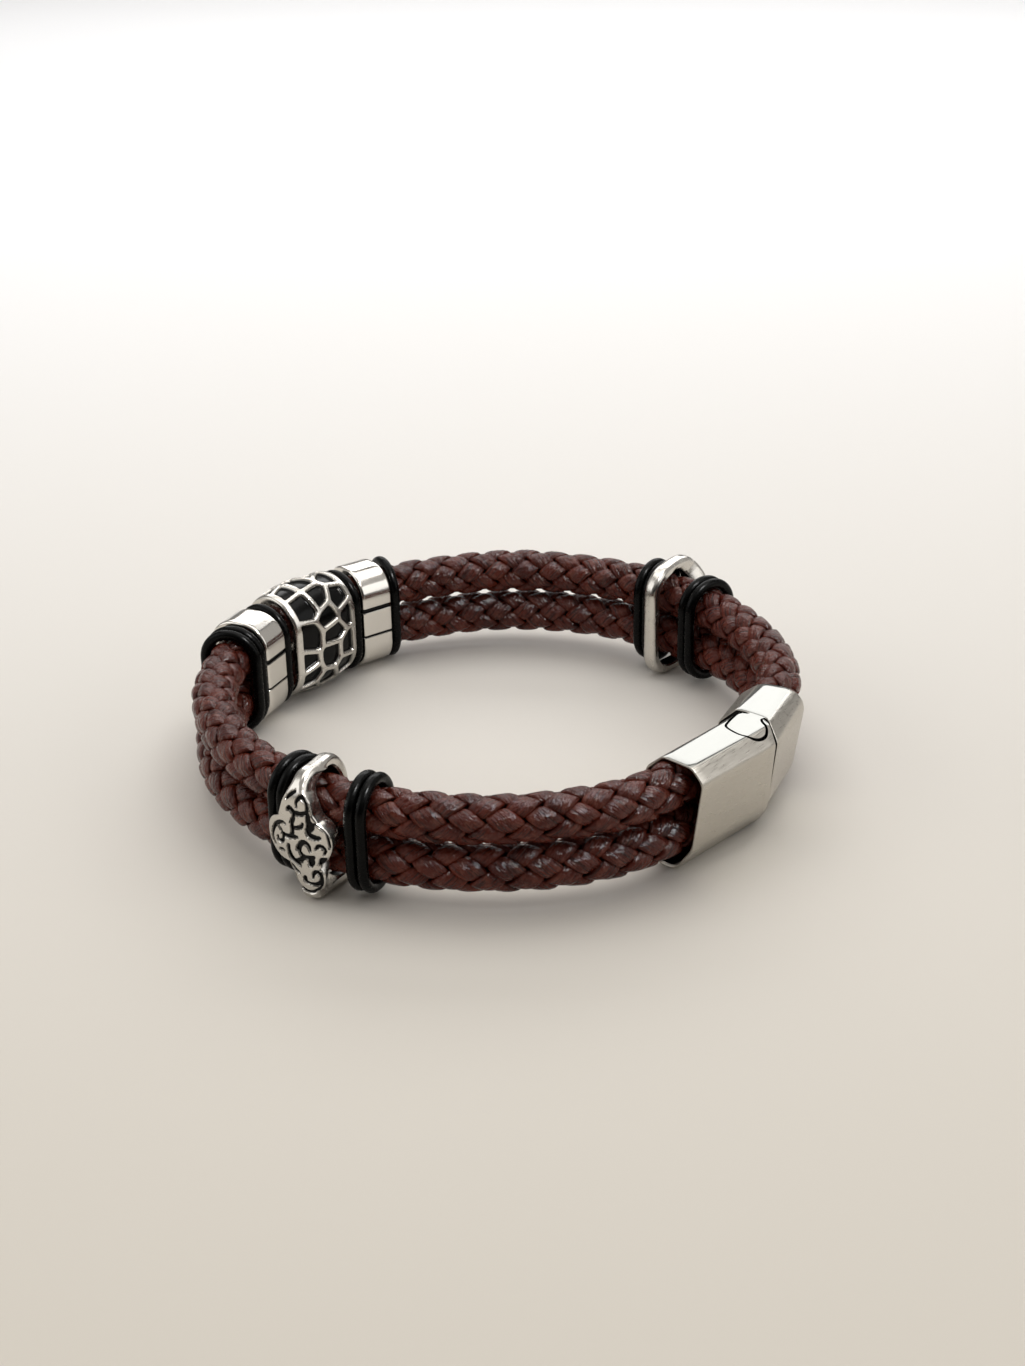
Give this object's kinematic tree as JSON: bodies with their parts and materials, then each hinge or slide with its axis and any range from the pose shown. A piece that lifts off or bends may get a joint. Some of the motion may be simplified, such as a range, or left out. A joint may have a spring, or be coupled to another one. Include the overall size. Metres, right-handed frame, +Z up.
{
  "type": "leather bracelet",
  "caption": "Two braided leather cords side by side in a closed loop, with a locking steel clasp, a barrel bead, tube beads, cast scroll beads and rubber rings.",
  "frame": {"origin": "middle of the loop on the surface that the bracelet lies on", "axes": "+Z up, out of the surface the bracelet lies on and through the wrist opening; the clasp is towards -Y and the barrel bead towards +Y"},
  "size_m": [0.0865, 0.0834, 0.0166],
  "materials": {
    "brown_leather": "dark red-brown braided leather strips, satin, worn lighter on the crowns",
    "brushed_steel": "stainless steel, fine brushed sides and polished edges",
    "polished_steel": "stainless steel, smooth polish with fine scratches",
    "cast_metal": "cast steel, polished on the raised parts and blackened in the hollows",
    "black_rubber": "matte black rubber"
  },
  "bodies": {
    "root": {"braided_cord_top": "brown_leather", "braided_cord_bottom": "brown_leather", "clasp_front": "brushed_steel", "clasp_rear": "brushed_steel", "barrel_bead": "cast_metal", "tube_bead_left": "polished_steel", "tube_bead_right": "polished_steel", "scroll_bead": "cast_metal", "loop_bead": "cast_metal", "cluster_ring_1": "black_rubber", "cluster_ring_2": "black_rubber", "cluster_ring_3": "black_rubber", "cluster_ring_4": "black_rubber", "cluster_ring_5": "black_rubber", "scroll_ring_1": "black_rubber", "scroll_ring_2": "black_rubber", "scroll_ring_3": "black_rubber", "scroll_ring_4": "black_rubber", "loop_ring_1": "black_rubber", "loop_ring_2": "black_rubber", "loop_ring_3": "black_rubber", "loop_ring_4": "black_rubber"}
  },
  "joints": []
}
